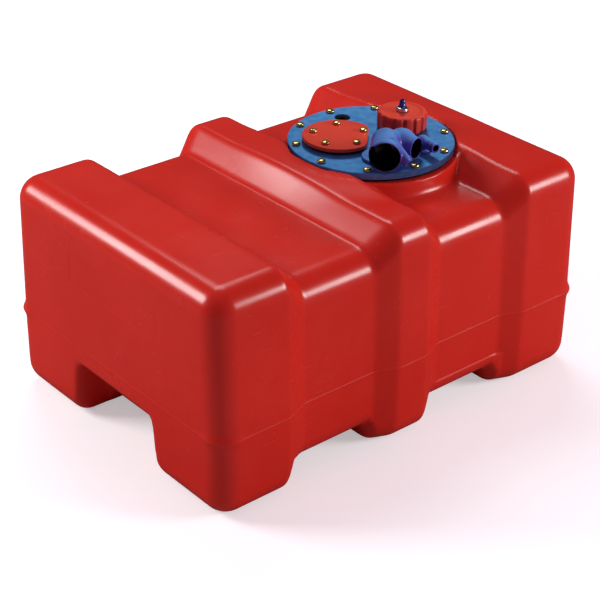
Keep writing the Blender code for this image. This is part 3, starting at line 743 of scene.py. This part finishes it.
def tank_plastic():
    """Rotationally moulded polyethylene: slow colour drift, orange peel, a few light scuffs."""
    f = Finish("tank_plastic", specular=0.36)
    drift = f.noise(5.5, 2.0)
    mottle = f.noise(70.0, 3.0, 0.6)
    base = f.mix(f.band(drift, 0.3, 0.7), (0.565, 0.0165, 0.0080), (0.61, 0.0205, 0.0100))
    base = f.mix(f.band(mottle, 0.35, 0.75, 0.0, 0.16), base, (0.48, 0.014, 0.009))
    patch = f.band(f.noise(9.0, 2.0), 0.52, 0.68)
    s1 = f.band(f.noise(26.0, 3.0, 0.6, (1.0, 9.0, 14.0), (0.3, 0.2, 0.9)), 0.665, 0.72)
    s2 = f.band(f.noise(30.0, 3.0, 0.6, (11.0, 1.0, 12.0), (0.1, 0.5, -0.5)), 0.67, 0.72)
    scuff = f.math("MULTIPLY", f.math("MAXIMUM", s1, s2), patch)
    base = f.mix(f.math("MULTIPLY", scuff, 0.09), base, (0.66, 0.10, 0.075))
    rub = f.band(f.attribute("edge"), 0.10, 0.9)
    rub = f.math("MULTIPLY", rub, f.band(f.noise(40.0, 3.0, 0.6), 0.35, 0.7, 0.1, 1.0))
    base = f.mix(f.math("MULTIPLY", rub, 0.10), base, (0.70, 0.06, 0.04))
    rough = f.band(f.noise(22.0, 3.0), 0.3, 0.7, 0.225, 0.275)
    rough = f.math("ADD", rough, f.math("MULTIPLY", scuff, 0.14))
    f.bump(f.noise(34.0, 2.0), 0.055)
    f.bump(f.noise(170.0, 2.0), 0.012)
    f.bump(f.noise(900.0, 1.0), 0.0035)
    return f.done(base, rough)


def moulded(name, low, high, top=None, rough=(0.28, 0.36), grain=650.0, specular=0.5, edge=None):
    """Injection-moulded plastic: fine grain, slight mottling and, given a `top` colour, upward-facing surfaces
    lightened as painted light.
    """
    f = Finish(name, specular=specular)
    base = f.mix(f.band(f.noise(95.0, 3.0, 0.6), 0.3, 0.7), low, high)
    # Painted light: surfaces facing up are blended toward the `top` colour, a lit look of the same plastic.
    if top:
        up = f.band(f.split(f.normal)[2], 0.45, 0.98)
        up = f.math("MULTIPLY", up, f.band(f.noise(60.0, 2.0), 0.2, 0.6, 0.75, 1.0))
        base = f.mix(up, base, top)
    if edge:
        rub = f.math("MULTIPLY", f.band(f.attribute("edge"), 0.15, 0.8), f.band(f.noise(160.0, 3.0), 0.3, 0.7))
        base = f.mix(f.math("MULTIPLY", rub, 0.35), base, edge)
    scratch = f.band(f.noise(60.0, 3.0, 0.6, (1.0, 12.0, 6.0), (0, 0, 0.7)), 0.64, 0.70, 0.0, 0.10)
    r = f.math("ADD", f.band(f.noise(130.0, 3.0), 0.3, 0.7, *rough), scratch)
    f.bump(f.noise(grain, 2.0), 0.006)
    f.bump(f.noise(110.0, 2.0), 0.015)
    return f.done(base, r)


def metal(name, bright, dull, rough):
    f = Finish(name, metal=1.0)
    stain = f.band(f.noise(260.0, 4.0, 0.6), 0.42, 0.68)
    f.bump(f.noise(1500.0, 2.0), 0.004)
    return f.done(f.mix(f.math("MULTIPLY", stain, 0.45), bright, dull), f.band(f.noise(420.0, 3.0), 0.3, 0.7, *rough))


def soft(name, low, high, rough):
    f = Finish(name, specular=0.35)
    f.bump(f.noise(1400.0, 2.0), 0.012)
    return f.done(f.mix(f.band(f.noise(220.0, 3.0), 0.3, 0.7), low, high), f.band(f.noise(300.0, 2.0), 0.3, 0.7, *rough))


looks = {
    "tank_red": tank_plastic(),
    # Cap and cover plastic: the third colour is painted light on the upward-facing surfaces.
    "cap_red": moulded("cap_plastic_painted_lit_tops", (0.54, 0.032, 0.017), (0.62, 0.046, 0.024), (0.62, 0.055, 0.030), (0.34, 0.44), 420.0, 0.35),
    "flange_blue": moulded("flange_plastic", (0.048, 0.200, 0.47), (0.085, 0.290, 0.56), None, (0.40, 0.52), 520.0, 0.35),
    # Elbows: the flange's blue plastic given as painted shade in the purple low and high colours, and its lit light
    # blue as painted light on the tops; the last colour is edge wear.
    "elbow_purple": moulded("elbow_plastic_painted_shade_and_light", (0.050, 0.034, 0.29), (0.070, 0.052, 0.37), (0.085, 0.235, 0.52), (0.28, 0.36), 600.0, 0.4,
                            (0.12, 0.15, 0.52)),
    "nipple_navy": moulded("nipple_plastic", (0.020, 0.016, 0.16), (0.030, 0.024, 0.22), None, (0.24, 0.32)),
    "rubber": soft("rubber", (0.006, 0.006, 0.007), (0.014, 0.014, 0.014), (0.55, 0.75)),
    "brass": metal("brass", (0.86, 0.66, 0.27), (0.52, 0.34, 0.11), (0.20, 0.34)),
    "steel": metal("steel", (0.76, 0.74, 0.80), (0.50, 0.49, 0.54), (0.22, 0.38)),
    "black_plastic": moulded("black_plastic", (0.004, 0.004, 0.005), (0.009, 0.009, 0.010), None, (0.50, 0.62), 650.0, 0.2),
    "white_plastic": moulded("white_plastic", (0.68, 0.68, 0.64), (0.76, 0.76, 0.71), None, (0.34, 0.44)),
    "strainer_grey": moulded("strainer_plastic", (0.16, 0.16, 0.17), (0.22, 0.22, 0.23), None, (0.50, 0.65)),
}
slots = {s["node"]: s["material_slot"] for s in frame["record"]["subparts"]}
for name, ob in NODES.items():
    ob.data.materials.clear()
    ob.data.materials.append(looks[slots[name]])


def painted_shade_bore_mat():
    """Painted shade for the inside of the fittings: the same plastic made near black where the bores lie in shade."""
    f = Finish("bore_painted_shade", specular=0.2)
    return f.done(f.mix(f.noise(200.0, 2.0), (0.0015, 0.0012, 0.004), (0.004, 0.003, 0.010)), f.band(f.noise(90.0), 0.3, 0.7, 0.5, 0.7))


painted_shade_bore = painted_shade_bore_mat()


def second_material(me, mats, test):
    """Gives faces whose centre passes test(x, y, z in mm) the second material."""
    me.materials.clear()
    for m in mats:
        me.materials.append(m)
    n = len(me.polygons)
    c = np.empty(n * 3, F)
    me.polygons.foreach_get("center", c)
    x, y, z = c.reshape(-1, 3).T / MM
    me.polygons.foreach_set("material_index", test(x, y, z).astype(np.int32))


def return_bores(x, y, z):
    knee, mouth = (*RET, RET_Z), (*RET_MOUTH, RET_Z)
    cut = capsule(x, y, z, RET, 200, RET_Z, 3.5)
    return smin(cut, rod(x, y, z, knee, between(knee, mouth, math.dist(knee, mouth) + 8), 3.5), 0.6)


# ------------------------------------------------------------------ pieces
tank = piece("tank_skin", build_tank(), "root", [looks["tank_red"]], ["tank_shell"])

me = field_mesh("filler_skin", filler_field, (38, -99, 229), (117, -20, 293), 0.85)
# Faces inside the bores get the near-black painted shade material.
second_material(me, [looks["elbow_purple"], painted_shade_bore], lambda x, y, z: (filler_bores(x, y, z) < 0.30))
piece("filler_skin", me, "root", (), ["filler_elbow"])
me = field_mesh("return_skin", return_field, (106, -86, 224), (130, -46, 273), 0.6)
# Faces inside the bore get the near-black painted shade material.
second_material(me, [looks["elbow_purple"], painted_shade_bore], lambda x, y, z: (return_bores(x, y, z) < 0.30))
piece("return_skin", me, "root", (), ["return_elbow"])

piece("flange_face", build_flange(), "root", [looks["flange_blue"]], ["flange_plate"])
piece("cover_face", build_cover(40.0, 31.0, 256.4, 260.2, 0.9, 0.0), "root", [looks["cap_red"]], ["sender_cover"])
piece("cover_gasket", build_cover(37.0, 28.8, FLANGE_HI + 0.3, 256.1, 0.5, 21.5), "root", [looks["rubber"]],
      ["sender_cover_gasket"])
piece("cap_face", build_cap(), "cap", [looks["cap_red"]], ["cap_nut"])
piece("nipple_face", build_nipple(), "pickup", [looks["nipple_navy"]], ["pickup_nipple"])
piece("collar_face", build_collar(), "pickup", [looks["steel"]], ["nipple_collar"])
for prefix, places, z, sizes, digits in (("flange_screw", SCREWS, FLANGE_HI + 0.3, (4.7, 3.4, 2.45, 21.0, 1.3), 2),
                                         ("cover_screw", COVER_SCREWS, 260.5, (4.3, 3.0, 2.1, 10.5, 1.2), 1)):
    for k, (x, y) in enumerate(places):
        me = build_screw(*sizes)
        me.transform(Matrix.Translation(Vector((x, y, z)) * MM) @ Matrix.Rotation(math.radians(37.0 * k), 4, "Z"))
        name = f"{prefix}_{k + 1:0{digits}d}"
        piece("fine_" + name, me, "root", [looks["brass"]], [name])

# ------------------------------------------------------------------ floor, light, camera
floor_mat = bpy.data.materials.new("floor")
floor_mat.use_nodes = True
ft = floor_mat.node_tree
fb = ft.nodes["Principled BSDF"]
fb.inputs["Roughness"].default_value = 0.9
fb.inputs["Specular IOR Level"].default_value = 0.0
lp = ft.nodes.new("ShaderNodeLightPath")
pick = ft.nodes.new("ShaderNodeMix")
pick.data_type = "RGBA"
pick.inputs["A"].default_value = (0.62, 0.62, 0.62, 1)
pick.inputs["B"].default_value = (0.80, 0.80, 0.80, 1)
ft.links.new(lp.outputs["Is Camera Ray"], pick.inputs["Factor"])
dim = ft.nodes.new("ShaderNodeMix")
dim.data_type = "RGBA"
dim.inputs["B"].default_value = (0.12, 0.12, 0.12, 1)
ft.links.new(lp.outputs["Is Glossy Ray"], dim.inputs["Factor"])
ft.links.new(pick.outputs["Result"], dim.inputs["A"])
ft.links.new(dim.outputs["Result"], fb.inputs["Base Color"])
fb.inputs["Emission Color"].default_value = (1, 1, 1, 1)
glow = ft.nodes.new("ShaderNodeMath")
glow.operation = "MULTIPLY"
glow.inputs[1].default_value = 0.42
ft.links.new(lp.outputs["Is Camera Ray"], glow.inputs[0])
ft.links.new(glow.outputs[0], fb.inputs["Emission Strength"])
bm = bmesh.new()
bmesh.ops.create_grid(bm, x_segments=1, y_segments=1, size=6.0)
fme = bpy.data.meshes.new("floor")
bm.to_mesh(fme)
bm.free()
fme.materials.append(floor_mat)
floor = bpy.data.objects.new("floor", fme)
floor.location = (0, 0, -0.0004)
bpy.context.scene.collection.objects.link(floor)

world = bpy.data.worlds.new("studio")
bpy.context.scene.world = world
world.use_nodes = True
wt = world.node_tree
bg = wt.nodes["Background"]
wl = wt.nodes.new("ShaderNodeLightPath")
AMBIENT, AMBIENT_COLOR, MIRRORED = 0.27, (1.0, 0.62, 0.92), 0.06


def choose(fac, a, b):
    n = wt.nodes.new("ShaderNodeMix")
    n.data_type = "RGBA"
    wt.links.new(fac, n.inputs["Factor"])
    for sock, v in ((n.inputs["A"], a), (n.inputs["B"], b)):
        if isinstance(v, bpy.types.NodeSocket):
            wt.links.new(v, sock)
        else:
            sock.default_value = (*v, 1)
    return n.outputs["Result"]


lit = choose(wl.outputs["Is Glossy Ray"], tuple(c * AMBIENT for c in AMBIENT_COLOR), (MIRRORED,) * 3)
wt.links.new(choose(wl.outputs["Is Camera Ray"], lit, (0.95, 0.95, 0.95)), bg.inputs["Color"])
bg.inputs["Strength"].default_value = 1.0


def area(name, azimuth, elevation, distance, w, h, power, color=(1, 1, 1), target=(0, 0, 0.15)):
    """Soft light seen from the target at the given azimuth and elevation."""
    li = bpy.data.lights.new(name, "AREA")
    li.shape, li.size, li.size_y, li.energy, li.color = "RECTANGLE", w, h, power, color
    a, e = math.radians(azimuth), math.radians(elevation)
    loc = Vector(target) + distance * Vector((math.cos(a) * math.cos(e), math.sin(a) * math.cos(e), math.sin(e)))
    ob = bpy.data.objects.new(name, li)
    ob.location = loc
    ob.rotation_mode = "QUATERNION"
    ob.rotation_quaternion = (Vector(target) - loc).to_track_quat("-Z", "Y")
    bpy.context.scene.collection.objects.link(ob)
    return ob


def linked(light, objects, state):
    """Restricts a light to the objects, or keeps it off them."""
    group = bpy.data.collections.new(light.name + "_objects")
    light.light_linking.receiver_collection = group
    for ob in objects:
        group.objects.link(ob)
    for entry in group.collection_objects:
        entry.light_linking.link_state = state


fittings = [ob for ob in bpy.context.scene.objects if ob.type == "MESH" and ob not in (tank, floor, NODES["tank_shell"])]
plates = [ob for ob in fittings if ob.name in ("flange_face", "flange_gasket")]
right = area("right_box", -50, 18, 2.5, 0.90, 0.62, 40)
left = area("left_box", 135, 27, 2.5, 1.0, 0.85, 48)
top = area("overhead", 62, 58, 2.4, 1.2, 1.0, 20, (0.92, 1.0, 1.0))
fill = area("fitting_light", 50, 43, 1.6, 0.35, 0.35, 25, (0.90, 1.0, 0.98), (0.1, 0, 0.25))
fill.visible_glossy = False
metals = [ob for ob in fittings if ob.name.startswith("fine_") or ob.name == "collar_face"]
linked(left, fittings, "EXCLUDE")
linked(top, [ob for ob in fittings if ob not in metals], "EXCLUDE")
linked(right, plates, "EXCLUDE")
linked(fill, fittings, "INCLUDE")
bpy.context.scene.view_settings.view_transform = "Standard"

cam = bpy.data.cameras.new("camera")
cam_ob = bpy.data.objects.new("camera", cam)
bpy.context.scene.collection.objects.link(cam_ob)
bpy.context.scene.camera = cam_ob
AZ, EL, ROLL = math.radians(40.624), math.radians(29.486), 0.015
back = Vector((-math.sin(AZ) * math.cos(EL), -math.cos(AZ) * math.cos(EL), math.sin(EL)))
w = -back
r = w.cross(Vector((0, 0, 1))).normalized()
u = r.cross(w)
r2 = math.cos(ROLL) * r + math.sin(ROLL) * u
u2 = -math.sin(ROLL) * r + math.cos(ROLL) * u
rot = Matrix((r2, u2, back)).transposed()
cam_ob.matrix_world = Matrix.Translation((-1.02164, -1.19033, 0.97324)) @ rot.to_4x4()
cam.sensor_width = 36.0
cam.lens = 98.59
cam.clip_start, cam.clip_end = 0.05, 50.0
